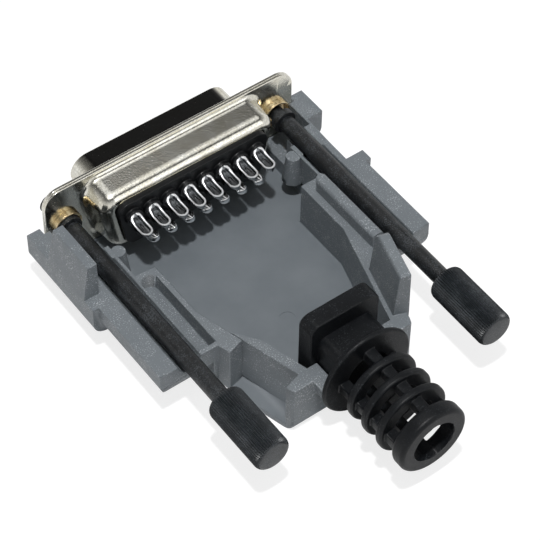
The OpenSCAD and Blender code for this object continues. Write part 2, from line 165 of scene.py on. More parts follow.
# %% World
world = bpy.data.worlds.new("studio")
bpy.context.scene.world = world
world.use_nodes = True
world_tree = world.node_tree
world_tree.nodes.clear()
out = add(world_tree, "ShaderNodeOutputWorld")
plain = add(world_tree, "ShaderNodeBackground", Color=(1, 1, 1, 1), Strength=0.22)
seen = add(world_tree, "ShaderNodeBackground", Strength=1.0)
paths = add(world_tree, "ShaderNodeLightPath")
coords = add(world_tree, "ShaderNodeTexCoord")
direction = add(world_tree, "ShaderNodeSeparateXYZ")
bands = add(world_tree, "ShaderNodeValToRGB")
stops = bands.color_ramp.elements
# a stop's position is the sine of the angle above the horizon
for stop, position, grey in ((stops[0], 0.16, 1.0), (stops[1], 0.36, 0.02),
                             (stops.new(0.82), 0.82, 0.02), (stops.new(0.90), 0.90, 1.0)):
    stop.position = position
    stop.color = (grey, grey, grey, 1)
white_or_dark = add(world_tree, "ShaderNodeMixRGB", Color2=(1, 1, 1, 1))
mirror_or_camera = add(world_tree, "ShaderNodeMath", operation="MAXIMUM")
choose = add(world_tree, "ShaderNodeMixShader")
world_tree.links.new(coords.outputs["Generated"], direction.inputs[0])
world_tree.links.new(direction.outputs["Z"], bands.inputs["Fac"])
world_tree.links.new(bands.outputs["Color"], white_or_dark.inputs["Color1"])
world_tree.links.new(paths.outputs["Is Camera Ray"], white_or_dark.inputs["Fac"])
world_tree.links.new(white_or_dark.outputs["Color"], seen.inputs["Color"])
world_tree.links.new(paths.outputs["Is Camera Ray"], mirror_or_camera.inputs[0])
world_tree.links.new(paths.outputs["Is Glossy Ray"], mirror_or_camera.inputs[1])
world_tree.links.new(mirror_or_camera.outputs[0], choose.inputs["Fac"])
world_tree.links.new(plain.outputs[0], choose.inputs[1])
world_tree.links.new(seen.outputs[0], choose.inputs[2])
world_tree.links.new(choose.outputs[0], out.inputs["Surface"])
bpy.context.scene.view_settings.view_transform = "Standard"
print("world with", len(stops), "stops")

# %% [markdown]
# ## Shared surface effects
# Four effects of making and handling come back on the real pieces: a moulded grain with bright glints,
# which the finishes paint into the colour as highlights, cloudy tone changes, sparse dust specks, and the
# fine rings that a lathe tool leaves. They could be copied into every finish, but as node groups each is
# built once, reads the piece's own Object coordinates, and is placed in a finish with its own sizes in
# millimetres.


# %% Group helper
def new_group(name, inputs, outputs):
    """A shader node group with float inputs and named outputs; returns it with its two end nodes."""
    group = bpy.data.node_groups.new(name, "ShaderNodeTree")
    for label, value in inputs.items():
        socket = group.interface.new_socket(label, in_out="INPUT", socket_type="NodeSocketFloat")
        socket.default_value = value
    for label in outputs:
        group.interface.new_socket(label, in_out="OUTPUT", socket_type="NodeSocketFloat")
    start = group.nodes.new("NodeGroupInput")
    end = group.nodes.new("NodeGroupOutput")
    return group, start, end


def math_node(tree, operation, a, b=None, clamp=False):
    """A math node whose inputs are sockets or numbers."""
    node = tree.nodes.new("ShaderNodeMath")
    node.operation = operation
    node.use_clamp = clamp
    for i, value in enumerate((a, b)):
        if value is None:
            continue
        if isinstance(value, (int, float)):
            node.inputs[i].default_value = value
        else:
            tree.links.new(value, node.inputs[i])
    return node.outputs[0]


def pattern(tree, kind, metres=None, size_mm=None, **values):
    """A texture on Object coordinates; size_mm is a socket, metres the pattern's length at scale 1."""
    node = add(tree, kind, **values)
    tree.links.new(add(tree, "ShaderNodeTexCoord").outputs["Object"], node.inputs["Vector"])
    if size_mm is not None:
        tree.links.new(math_node(tree, "DIVIDE", metres / MM, size_mm), node.inputs["Scale"])
    return node.outputs


# %% Moulded grain
grain, start, end = new_group("moulded_grain", {"Grain size mm": 0.2, "Glint share": 0.5},
                              ["Height", "Glint"])
fine = pattern(grain, "ShaderNodeTexNoise", 1, start.outputs["Grain size mm"], Detail=3.0, Roughness=0.6)
patch = pattern(grain, "ShaderNodeTexNoise", Detail=2.0, Scale=420.0)
grain.links.new(fine["Fac"], end.inputs["Height"])
# a glint, which the finishes paint into the colour as a highlight, is where the fine noise passes a
# limit, which the share lowers
share = math_node(grain, "MULTIPLY", patch["Fac"], start.outputs["Glint share"])
limit = math_node(grain, "SUBTRACT", 0.735, math_node(grain, "MULTIPLY", share, 0.45))
above = math_node(grain, "SUBTRACT", fine["Fac"], limit)
grain.links.new(math_node(grain, "MULTIPLY", above, 14.0, clamp=True), end.inputs["Glint"])
print("group", grain.name)

# %% Cloudy tone
cloud, start, end = new_group("cloudy_tone", {"Cloud size mm": 4.0, "Contrast": 1.0}, ["Tone"])
soft = pattern(cloud, "ShaderNodeTexNoise", 1, start.outputs["Cloud size mm"], Detail=5.0, Roughness=0.55)
centred = math_node(cloud, "SUBTRACT", soft["Fac"], 0.5)
strong = math_node(cloud, "MULTIPLY", centred, start.outputs["Contrast"])
cloud.links.new(math_node(cloud, "ADD", strong, 0.5, clamp=True), end.inputs["Tone"])
print("group", cloud.name)

# %% Dust specks
dust, start, end = new_group("dust_specks", {"Spacing mm": 0.5, "Share": 0.2}, ["Mask"])
spots = pattern(dust, "ShaderNodeTexVoronoi", 1, start.outputs["Spacing mm"], feature="F1")
pick = dust.nodes.new("ShaderNodeSeparateColor")
dust.links.new(spots["Color"], pick.inputs[0])
some = math_node(dust, "LESS_THAN", pick.outputs[0], start.outputs["Share"])
small = math_node(dust, "LESS_THAN", spots["Distance"], 0.15)
dust.links.new(math_node(dust, "MULTIPLY", some, small), end.inputs["Mask"])
print("group", dust.name)

# %% Turned rings
rings, start, end = new_group("turned_rings", {"Pitch mm": 0.5}, ["Height"])
WAVE = math.pi / 10
lathe = pattern(rings, "ShaderNodeTexWave", WAVE, start.outputs["Pitch mm"], wave_type="BANDS",
                bands_direction="Y", Distortion=2.2, Detail=3.0, **{"Detail Scale": 2.5})
pits = pattern(rings, "ShaderNodeTexNoise", Detail=4.0, Roughness=0.7, Scale=4200.0)
half = math_node(rings, "MULTIPLY", lathe["Fac"], 0.6)
rings.links.new(math_node(rings, "ADD", half, pits["Fac"]), end.inputs["Height"])
print("group", rings.name, "with a wave of", round(WAVE, 3), "m at scale 1")


# %% [markdown]
# ## Finishes
# Each finish is one Principled shader. Its constant numbers stand on the shader's own sockets, where the
# export can read them, and the groups above only feed colour, roughness and bump.

# %% Finish helper
def use(tree, group, **values):
    """Places a shared effect in a material, with its own values."""
    node = tree.nodes.new("ShaderNodeGroup")
    node.node_tree = group
    for label, value in values.items():
        node.inputs[label.replace("_", " ")].default_value = value
    return node


def mix_colours(tree, factor, dark, light):
    """Colour from dark to light by a factor socket."""
    node = tree.nodes.new("ShaderNodeMixRGB")
    tree.links.new(factor, node.inputs["Fac"])
    for label, value in (("Color1", dark), ("Color2", light)):
        if isinstance(value, tuple):
            node.inputs[label].default_value = (*value, 1)
        else:
            tree.links.new(value, node.inputs[label])
    return node.outputs["Color"]


def span(tree, factor, low, high):
    """A number from low to high by a factor socket."""
    node = add(tree, "ShaderNodeMapRange")
    node.inputs["To Min"].default_value = low
    node.inputs["To Max"].default_value = high
    tree.links.new(factor, node.inputs["Value"])
    return node.outputs["Result"]


def fade(tree, value, start, full):
    """Goes from 0 to 1 while a socket goes from start to full."""
    node = add(tree, "ShaderNodeMapRange")
    node.inputs["From Min"].default_value = start
    node.inputs["From Max"].default_value = full
    tree.links.new(value, node.inputs["Value"])
    return node.outputs["Result"]


def split(tree, vector):
    """The x, y and z of a vector socket."""
    node = add(tree, "ShaderNodeSeparateXYZ")
    tree.links.new(vector, node.inputs[0])
    return node.outputs


def own_axes(tree):
    """The piece's own x, y and z at the shaded point."""
    return split(tree, add(tree, "ShaderNodeTexCoord").outputs["Object"])


def bump(tree, shader, height, strength, depth_mm):
    """Feeds a height socket to the shader's normal."""
    node = add(tree, "ShaderNodeBump", Strength=strength, Distance=depth_mm * MM)
    tree.links.new(height, node.inputs["Height"])
    tree.links.new(node.outputs["Normal"], shader.inputs["Normal"])


# %% [markdown]
# ### Hood plastic
# The hood is moulded in grey plastic. The floor of its tray is smooth, and the walls and wings above it
# have a spark-eroded grain, whose sparkle is painted into the colour as bright highlights. Two materials
# could share the faces out, but a map on the height fades the grain and its painted highlights in just
# above the floor, so one finish does both without a hard line.

# %% Hood plastic
TRAY_TOP, GRAIN_FULL = -6.8 * MM, -6.0 * MM
hood_grey, tree, shader = new_material("hood_grey_plastic")
tone = use(tree, cloud, Cloud_size_mm=6.0, Contrast=1.4)
close = use(tree, cloud, Cloud_size_mm=0.8, Contrast=1.4)
spark = use(tree, grain, Grain_size_mm=0.17, Glint_share=0.62)
textured = fade(tree, own_axes(tree)["Z"], TRAY_TOP, GRAIN_FULL)
base = mix_colours(tree, tone.outputs["Tone"], (0.122, 0.140, 0.156), (0.178, 0.198, 0.214))
base = mix_colours(tree, math_node(tree, "MULTIPLY", close.outputs["Tone"], textured), base,
                   (0.150, 0.168, 0.182))
glint = math_node(tree, "MULTIPLY", spark.outputs["Glint"], textured)
# painted highlights: the grain's glints lighten the colour above the tray floor
base = mix_colours(tree, math_node(tree, "MULTIPLY", glint, 0.55), base, (0.62, 0.65, 0.67))
tree.links.new(base, shader.inputs["Base Color"])
tree.links.new(span(tree, close.outputs["Tone"], 0.36, 0.56), shader.inputs["Roughness"])
shader.inputs["Specular IOR Level"].default_value = 0.5
relief = math_node(tree, "MULTIPLY", spark.outputs["Height"],
                   math_node(tree, "ADD", math_node(tree, "MULTIPLY", textured, 0.9), 0.1))
bump(tree, shader, relief, 0.8, 0.05)
print("finish", hood_grey.name)

# %% [markdown]
# ### Boot rubber
# Plain black would be the quick way, but real rubber has a soft, slightly uneven shine. So its tone and
# roughness drift a little, a low specular level keeps it black under the lamps, and a few faint glints of
# the mould's grain, painted into the colour as highlights, break it up.

# %% Boot rubber
boot_rubber, tree, shader = new_material("boot_rubber")
tone = use(tree, cloud, Cloud_size_mm=3.0, Contrast=1.6)
spark = use(tree, grain, Grain_size_mm=0.16, Glint_share=0.55)
base = mix_colours(tree, tone.outputs["Tone"], (0.0018, 0.0024, 0.0032), (0.0045, 0.0055, 0.007))
# painted highlights: the grain's glints lighten the colour
base = mix_colours(tree, span(tree, spark.outputs["Glint"], 0.0, 0.35), base, (0.10, 0.11, 0.12))
tree.links.new(base, shader.inputs["Base Color"])
tree.links.new(span(tree, tone.outputs["Tone"], 0.36, 0.52), shader.inputs["Roughness"])
shader.inputs["Specular IOR Level"].default_value = 0.20
bump(tree, shader, spark.outputs["Height"], 0.6, 0.04)
print("finish", boot_rubber.name)

# %% [markdown]
# ### Tin plate
# The connector's shells are tinned steel with a straw tint, mottled and lightly dusty. The flat top of
# the front tube is painted almost black, as a painted reflection of dark surroundings. It could be
# painted on an unwrapped mesh, but a mask from the surface normal and the place along y finds it with no
# unwrapping.

# %% Tin plate
TUBE_START = 0.9 * MM
tin_plate, tree, shader = new_material("tin_plate")
shader.inputs["Metallic"].default_value = 1.0
tone = use(tree, cloud, Cloud_size_mm=2.6, Contrast=2.2)
close = use(tree, cloud, Cloud_size_mm=0.24, Contrast=2.4)
specks = use(tree, dust, Spacing_mm=0.30, Share=0.14)
base = mix_colours(tree, tone.outputs["Tone"], (0.70, 0.665, 0.55), (0.90, 0.89, 0.83))
base = mix_colours(tree, span(tree, close.outputs["Tone"], 0.0, 0.55), base, (0.36, 0.35, 0.31))
facing = split(tree, add(tree, "ShaderNodeNewGeometry").outputs["Normal"])
level_top = fade(tree, facing["Z"], 0.93, 0.99)
# painted reflection: the flat top of the front tube, past TUBE_START, is painted almost black where it
# mirrors dark surroundings
painted_dark_reflection = math_node(tree, "MULTIPLY", level_top,
                 math_node(tree, "GREATER_THAN", own_axes(tree)["Y"], TUBE_START))
base = mix_colours(tree, math_node(tree, "MULTIPLY", painted_dark_reflection, 0.94), base, (0.028, 0.028, 0.030))
tree.links.new(base, shader.inputs["Base Color"])
rough = math_node(tree, "ADD", span(tree, close.outputs["Tone"], 0.10, 0.22),
                  math_node(tree, "MULTIPLY", specks.outputs["Mask"], 0.35), clamp=True)
tree.links.new(rough, shader.inputs["Roughness"])
bump(tree, shader, close.outputs["Tone"], 0.40, 0.013)
print("finish", tin_plate.name)

# %% [markdown]
# ### Contact metal
# Solder cups are bright plated metal. On the upper row the cut rims are rougher, so they catch the lamps
# as white lines, and the lower part of the cups is painted dark, as painted shade in and under their
# hollows. All cups of the row stand equally high, so bands of height place both, and one finish serves
# every contact.

# %% Contact metal
CUP_SHADE_LOW, CUP_SHADE_HIGH, RIM_LOW = 0.55 * MM, 1.30 * MM, 1.34 * MM
contact_metal, tree, shader = new_material("contact_metal")
shader.inputs["Metallic"].default_value = 1.0
close = use(tree, cloud, Cloud_size_mm=0.6, Contrast=1.6)
height = own_axes(tree)["Z"]
# painted shade: a band of height on the upper row's cups, in and under their hollows, is painted dark
painted_cup_shade = math_node(tree, "MULTIPLY", math_node(tree, "GREATER_THAN", height, CUP_SHADE_LOW),
                 math_node(tree, "LESS_THAN", height, CUP_SHADE_HIGH))
base = mix_colours(tree, close.outputs["Tone"], (0.82, 0.83, 0.84), (0.96, 0.97, 0.98))
base = mix_colours(tree, math_node(tree, "MULTIPLY", painted_cup_shade, 0.72), base, (0.10, 0.11, 0.12))
tree.links.new(base, shader.inputs["Base Color"])
cut_rim = math_node(tree, "GREATER_THAN", height, RIM_LOW)
rough = math_node(tree, "ADD", span(tree, close.outputs["Tone"], 0.10, 0.20),
                  math_node(tree, "MULTIPLY", cut_rim, 0.30))
tree.links.new(rough, shader.inputs["Roughness"])
bump(tree, shader, close.outputs["Tone"], 0.06, 0.01)
print("finish", contact_metal.name)

# %% [markdown]
# ### Insulator plastic, eyelet metal and black steel
# The insulators are black moulded plastic with a gentle shine, and the eyelets are gold-tinted metal.
# The screws are steel with a black oxide: dark and grainy, with glints of the grain painted into the
# colour as highlights, and with faint lathe rings on the shank and the retaining ring. The three parts of
# a screw differ only in numbers, so one function makes all three finishes.

# %% Insulator plastic
insulator_black, tree, shader = new_material("insulator_black")
tone = use(tree, cloud, Cloud_size_mm=1.5, Contrast=1.5)
base = mix_colours(tree, tone.outputs["Tone"], (0.0025, 0.003, 0.0035), (0.006, 0.0065, 0.0075))
tree.links.new(base, shader.inputs["Base Color"])
tree.links.new(span(tree, tone.outputs["Tone"], 0.28, 0.42), shader.inputs["Roughness"])
shader.inputs["Specular IOR Level"].default_value = 0.35
bump(tree, shader, tone.outputs["Tone"], 0.15, 0.02)
print("finish", insulator_black.name)

# %% Eyelet metal
eyelet_metal, tree, shader = new_material("eyelet_metal")
shader.inputs["Metallic"].default_value = 1.0
tone = use(tree, cloud, Cloud_size_mm=0.6, Contrast=2.0)
base = mix_colours(tree, tone.outputs["Tone"], (0.66, 0.48, 0.24), (0.86, 0.74, 0.50))
tree.links.new(base, shader.inputs["Base Color"])
tree.links.new(span(tree, tone.outputs["Tone"], 0.20, 0.36), shader.inputs["Roughness"])
bump(tree, shader, tone.outputs["Tone"], 0.2, 0.02)
print("finish", eyelet_metal.name)


# %% Black screw steel
def black_steel(name, pitch_mm, strength, low, high):
    """Black oxide steel with a fine grain whose glints are painted into the colour as highlights, and
    faint lathe rings where a pitch is given.
    """
    mat, tree, shader = new_material(name)
    tone = use(tree, cloud, Cloud_size_mm=0.9, Contrast=2.0)
    base = mix_colours(tree, tone.outputs["Tone"], low, high)
    tree.links.new(span(tree, tone.outputs["Tone"], 0.30, 0.46), shader.inputs["Roughness"])
    shader.inputs["Specular IOR Level"].default_value = 0.42
    spark = use(tree, grain, Grain_size_mm=0.16, Glint_share=0.9)
    # painted highlights: the grain's glints lighten the colour
    base = mix_colours(tree, math_node(tree, "MULTIPLY", spark.outputs["Glint"], 0.5), base,
                       (0.075, 0.085, 0.095))
    tree.links.new(base, shader.inputs["Base Color"])
    height = spark.outputs["Height"]
    if pitch_mm:
        lathe = use(tree, rings, Pitch_mm=pitch_mm).outputs["Height"]
        height = math_node(tree, "ADD", height, math_node(tree, "MULTIPLY", lathe, 0.12))
    bump(tree, shader, height, strength, 0.05)
    print("finish", mat.name)
    return mat


screw_black = black_steel("screw_black", 0.5922, 0.85, (0.003, 0.0035, 0.004), (0.008, 0.009, 0.010))
head_black = black_steel("head_black", 0, 0.50, (0.008, 0.010, 0.012), (0.018, 0.021, 0.024))
ring_black = black_steel("ring_black", 0.4343, 0.60, (0.004, 0.0045, 0.005), (0.010, 0.011, 0.012))

# %% [markdown]
# ## Mesh helpers
# Most pieces here are turned or drawn, and could be built by typed lists of vertices and faces. A few
# helpers on Blender's own mesh operators say more: one spins a profile round an axis along Y, one makes
# an arc for such a profile, one lays a closed loop of edges, and one bridges loops with faces. Each
# finished piece gets smooth shading with sharp creases, a finish and a body.

# %% Mesh helpers
TINY = 0.0005 * MM


def spun(profile, x, z, steps):
    """A bmesh spun round the line (x, z) along Y; the profile is a list of (radius, y) in mm."""
    bm = bmesh.new()
    chain = [bm.verts.new((x + r * MM, y * MM, z)) for r, y in profile]
    edges = [bm.edges.new(pair) for pair in zip(chain, chain[1:])]
    bmesh.ops.spin(bm, geom=chain + edges, cent=(x, 0, z), axis=(0, 1, 0), angle=2 * math.pi,
                   steps=steps, use_merge=True)
    bmesh.ops.remove_doubles(bm, verts=bm.verts, dist=TINY)
    bmesh.ops.recalc_face_normals(bm, faces=bm.faces)
    return bm


def to_object(bm, name):
    """An object at the origin that holds the bmesh."""
    mesh = bpy.data.meshes.new(name)
    bm.to_mesh(mesh)
    bm.free()
    obj = bpy.data.objects.new(name, mesh)
    bpy.context.scene.collection.objects.link(obj)
    return obj


def arc(cx, cy, radius, start_deg, end_deg, count):
    """Points of an arc as (radius from the axis, y)."""
    turn = [math.radians(start_deg + (end_deg - start_deg) * i / count) for i in range(count + 1)]
    return [(cx + radius * math.cos(t), cy + radius * math.sin(t)) for t in turn]


def loop(bm, points):
    """A closed loop of edges through the points."""
    verts = [bm.verts.new(p) for p in points]
    return [bm.edges.new((a, b)) for a, b in zip(verts, verts[1:] + verts[:1])]


def bridged(bm, loops):
    """Faces between each loop and the next."""
    for first, second in zip(loops, loops[1:]):
        bmesh.ops.bridge_loops(bm, edges=first + second)


def finish_mesh(obj, material, body, smooth_deg=35):
    """Smooth shading, one finish and a body to ride on."""
    obj.data.materials.clear()
    obj.data.materials.append(material)
    for face in obj.data.polygons:
        face.use_smooth = True
    obj.data.set_sharp_from_angle(angle=math.radians(smooth_deg))
    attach(obj, body)
    return obj


# %% [markdown]
# ## Pieces that follow the solids
# A moulded or stamped edge is never quite sharp. The solid model leaves these edges sharp, so each such
# node gets a softened twin: a copy with its triangles merged, its flat faces joined and a narrow bevel
# on its sharp edges. A bevel on every edge would be simpler, but it folds over where a face is thinner
# than the bevel is wide, so each edge that has room gets a weight, and the bevel follows the weights.
# The twin replaces the node and rides on the same body.

# %% Places of the half shell with their own rule
CREVICE_MERGE = 0.12
FOOT, SIDE = hood_low.z + 0.3 * MM, hood_high.x - 0.6 * MM
STEP_X, STEP_Y, STEP_REACH = 18 * MM, -14.3 * MM, 0.3 * MM
print("no bevel under", round(FOOT / MM, 2), "mm or beyond", round(SIDE / MM, 2), "mm")


def in_crevice(vert):
    """The slit beside the wall behind the left recess, too narrow to see, which a merge closes."""
    x, y = vert.co.x / MM, vert.co.y / MM
    return -10.2 < x < -9.2 and -29.2 < y < -26.6


def stays_sharp(edge):
    """The foot, the outer sides and the step where the front wing ends: a bevel would stand out there."""
    if min(v.co.z for v in edge.verts) < FOOT:
        return True
    if max(abs(v.co.x) for v in edge.verts) > SIDE:
        return True
    return any(abs(v.co.x) > STEP_X and abs(v.co.y - STEP_Y) < STEP_REACH for v in edge.verts)


# %% Softened copies
CREASE, FLAT = math.radians(38), math.radians(0.6)
SPECK, ROOM = 0.002, 1.3


def softened(node, name, material, body, width_mm, merge_mm=0.02, shortest_mm=0.05):
    """A merged copy of a solid's mesh with its sharp edges bevelled; it replaces the node."""
    is_hood = node == "half_shell"
    mesh = nodes[node].data.copy()
    mesh.name = name
    bm = bmesh.new()
    bm.from_mesh(mesh)
    bmesh.ops.remove_doubles(bm, verts=bm.verts, dist=merge_mm * MM)
    if is_hood:
        crevice = [v for v in bm.verts if in_crevice(v)]
        bmesh.ops.remove_doubles(bm, verts=crevice, dist=CREVICE_MERGE * MM)
    bmesh.ops.dissolve_degenerate(bm, edges=bm.edges, dist=SPECK * MM)
    bmesh.ops.dissolve_limit(bm, angle_limit=FLAT, verts=bm.verts, edges=bm.edges)
    bmesh.ops.recalc_face_normals(bm, faces=bm.faces)
    weight = bm.edges.layers.float.new("bevel_weight_edge")
    # a bevel needs room: thin faces and very short edges keep their sharp corners
    thin = {f for f in bm.faces if 2 * f.calc_area() < ROOM * width_mm * MM * f.calc_perimeter()}
    tight = {v for e in bm.edges if e.calc_length() < shortest_mm * MM for v in e.verts}
    soft = 0
    for edge in bm.edges:
        if len(edge.link_faces) != 2 or edge.calc_face_angle(0.0) < CREASE:
            continue
        if thin.intersection(edge.link_faces) or tight.intersection(edge.verts):
            continue
        if is_hood and stays_sharp(edge):
            continue
        edge[weight] = 1.0
        soft += edge.calc_length()
    bm.to_mesh(mesh)
    bm.free()
    obj = bpy.data.objects.new(name, mesh)
    bpy.context.scene.collection.objects.link(obj)
    bevel = obj.modifiers.new("soft_edges", "BEVEL")
    bevel.width = width_mm * MM
    bevel.segments = 2
    bevel.limit_method = "WEIGHT"
    bevel.use_clamp_overlap = False
    bevel.miter_outer = "MITER_SHARP"
    finish_mesh(obj, material, body)
    level = obj.modifiers.new("flat_faces", "WEIGHTED_NORMAL")
    level.weight = 80
    level.keep_sharp = True
    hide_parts(node)
    print(name, len(mesh.polygons), "faces,", round(soft / MM), "mm of soft edges")
    return obj


softened("half_shell", "hood_half", hood_grey, "hood", 0.13, 0.03, 0.14)
softened("cable_boot", "rubber_boot", boot_rubber, "hood", 0.14)
softened("front_shell", "front_sheet", tin_plate, "hood", 0.08)
softened("front_insulator", "front_block", insulator_black, "hood", 0.05)
softened("rear_insulator", "rear_block", insulator_black, "hood", 0.08)
for side_name in ("left", "right"):
    softened("eyelet_" + side_name, "grommet_" + side_name, eyelet_metal, "hood", 0.06)
    softened("retaining_ring_" + side_name, "snap_ring_" + side_name, ring_black,
             "ring_" + side_name, 0.18)

# %% [markdown]
# ## Rear shell of the connector
# The rear shell is drawn from sheet: a flat flange, a soft fillet, a shallow box and a generous round
# before its rear face. These soft bends give the sheet its long bright bands. A bevel can't follow the
# fillet, so this piece is built anew: closed rings of one D shape are placed one behind the other and
# bridged, and the flat flange is filled between its outline, its two holes and the first ring.

# %% Sections of the rear shell
SCREW_X = (screw_x["right"] - screw_x["left"]) / 2 / MM
SHEET, BOX_W, BOX_H, BOX_R, BOX_LEN = 0.4, 27.5, 10.7, 2.4, 4.5
FILLET, EDGE, DRAFT, WALL = 0.8, 1.6, 0.20, 0.3
OPEN_W, OPEN_H, OPEN_R, LIP = 23.6, 8, 1.6, 0.12
FLANGE_R, HOLE_R = 2.5, 1.92
D_SLOPE = 10
print("rear shell", BOX_W, "x", BOX_H, "x", BOX_LEN, "mm, its window", OPEN_W, "x", OPEN_H, "mm")


def d_ring(width, height, radius, y, inset=0.0, steps=14):
    """Points of a rounded D, wide side up, in a plane of constant y."""
    w, h, r = width - 2 * inset, height - 2 * inset, radius - inset
    rise, upper = h / 2 - r, w / 2 - r
    lower = upper - 2 * rise * math.tan(math.radians(D_SLOPE))
    points = []
    for cx, cz, start_deg, end_deg in ((upper, rise, -D_SLOPE, 90), (-upper, rise, 90, 180 + D_SLOPE),
                                       (-lower, -rise, 180 + D_SLOPE, 270),
                                       (lower, -rise, 270, 360 - D_SLOPE)):
        for i in range(steps + 1):
            t = math.radians(start_deg + (end_deg - start_deg) * i / steps)
            points.append(((cx + r * math.cos(t)) * MM, y * MM, (cz + r * math.sin(t)) * MM))
    return points


def plate_ring(width, height, radius, y, inset=0.0, steps=12):
    """Points of a rounded rectangle in a plane of constant y."""
    w, h, r = width / 2 - radius, height / 2 - radius, radius - inset
    points = []
    for cx, cz, start_deg in ((w, h, 0), (-w, h, 90), (-w, -h, 180), (w, -h, 270)):
        for i in range(steps + 1):
            t = math.radians(start_deg + 90 * i / steps)
            points.append(((cx + r * math.cos(t)) * MM, y * MM, (cz + r * math.sin(t)) * MM))
    return points


# %% Box of the rear shell
bm = bmesh.new()
flange_low, flange_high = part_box("rear_shell")
flange_w, flange_h = (flange_high.x - flange_low.x) / MM, (flange_high.z - flange_low.z) / MM
quarter = [math.radians(90 * i / 8) for i in range(9)]
profile = [(-FILLET + FILLET * math.cos(t), -FILLET + FILLET * math.sin(t)) for t in quarter]
profile += [(-BOX_LEN + EDGE - EDGE * math.sin(t), DRAFT + EDGE * (1 - math.cos(t))) for t in quarter]
outside = [loop(bm, d_ring(BOX_W, BOX_H, BOX_R, y, inset)) for y, inset in profile]
rim = [loop(bm, d_ring(OPEN_W, OPEN_H, OPEN_R, -BOX_LEN + y, inset - LIP))
       for y, inset in ((0.0, 0.0), (0.035, 0.085), (LIP, LIP), (WALL, LIP))]
profile = [(-BOX_LEN + EDGE - (EDGE - WALL) * math.sin(t), DRAFT + EDGE - (EDGE - WALL) * math.cos(t))
           for t in reversed(quarter)]
profile += [(0.0, WALL), (SHEET, WALL)]
inside = [loop(bm, d_ring(BOX_W, BOX_H, BOX_R, y, inset)) for y, inset in profile]
bridged(bm, outside + rim + inside)
print("box with", len(outside + rim + inside), "rings")

# %% Flange of the rear shell
outline = [loop(bm, plate_ring(flange_w, flange_h, FLANGE_R, y, inset))
           for y, inset in ((0.0, 0.1), (0.03, 0.03), (0.1, 0.0), (0.3, 0.0), (0.37, 0.03), (0.4, 0.1))]
bridged(bm, outline)
holes = []
for sx in (-SCREW_X, SCREW_X):
    circle = [(sx + HOLE_R * math.cos(math.radians(a)), HOLE_R * math.sin(math.radians(a)))
              for a in range(0, 360, 10)]
    pair = [loop(bm, [(x * MM, y * MM, z * MM) for x, z in circle]) for y in (0.0, SHEET)]
    bridged(bm, pair)
    holes.append(pair)
for k, edge_loop, ring in ((0, outline[0], outside[0]), (1, outline[-1], inside[-1])):
    border = edge_loop + ring + holes[0][k] + holes[1][k]
    bmesh.ops.triangle_fill(bm, edges=border, use_beauty=True, normal=(0, -1, 0))
bmesh.ops.recalc_face_normals(bm, faces=bm.faces)
open_edges = sum(1 for e in bm.edges if len(e.link_faces) != 2)
rear_sheet = to_object(bm, "rear_sheet")
finish_mesh(rear_sheet, tin_plate, "hood", 50)
even = rear_sheet.modifiers.new("even_normals", "WEIGHTED_NORMAL")
even.keep_sharp = True
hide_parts("rear_shell")
print("rear_sheet", len(rear_sheet.data.polygons), "faces,", open_edges, "open edges")

# %% [markdown]
# ## Solder contacts
# A contact is a turned pin with a socket in front and, behind, a cup that takes the wire. The cup is a
# trough: a closed U-shaped section, drawn along the pin while its rim falls in a slope to the pin's
# middle, and rounded off at the tip. It could be cut out of a bar with booleans, but bridged sections
# keep the small round of the rim clean. The lower row is the same piece turned over.

# %% Section of a cup
CONTACT_PITCH, ROW_Z = 2.77, 1.42
UPPER_COUNT, LOWER_COUNT = 8, 7
UPPER_END, LOWER_END = 9.1, 8.6
CUP_R, BORE_R, TIP_R, BORE_TIP_R = 0.875, 0.62, 0.95, 0.70
ROUND, RIM_INSET = 0.05, 0.04
WELD, WELD_REACH = 0.03, 0.6
CUP_START = -5.55
CUP_SLOPE = [(CUP_START, 0.85), (-5.7, 0.70), (-5.8, 0.60), (-5.95, 0.45), (-6.1, 0.30), (-6.8, 0.0)]
PIN = [(0, 1.2), (0.55, 1.2), (0.55, 4.55), (0.62, 4.6), (0.85, 4.6), (0.9, 4.55), (0.9, -0.9),
       (0.75, -0.95), (0.75, -5.2), (0.85, -5.2), (CUP_R, -5.24), (CUP_R, CUP_START), (0, CUP_START)]
print("a cup is", 2 * CUP_R, "mm wide, its bore", 2 * BORE_R, "mm")


def cup_section(y_out, y_in, rim, narrow):
    """One closed U as (x, y, z) in mm: down and up the outside, over the rim, back along the bore."""
    nearly_closed = BORE_R * 0.99
    low_out = math.asin((rim - ROUND) / CUP_R)
    low_in = math.asin(min(rim - ROUND, nearly_closed) / BORE_R)
    points = []
    for k in range(13):
        a = math.pi - low_out + (math.pi + 2 * low_out) * k / 12
        points.append((CUP_R * math.cos(a) * narrow, y_out, CUP_R * math.sin(a)))
    out_x = (math.sqrt(max(CUP_R ** 2 - rim ** 2, 0)) - RIM_INSET) * narrow
    in_x = (BORE_R * math.cos(math.asin(min(rim, nearly_closed) / BORE_R)) + RIM_INSET) * narrow
    y_rim = y_out + RIM_INSET * (1 - narrow)
    points += [(out_x, y_rim, rim), (in_x, y_in, rim)]
    for k in range(11):
        a = low_in - (math.pi + 2 * low_in) * k / 10
        points.append((BORE_R * math.cos(a) * narrow, y_in, BORE_R * math.sin(a)))
    points += [(-in_x, y_in, rim), (-out_x, y_rim, rim)]
    return points


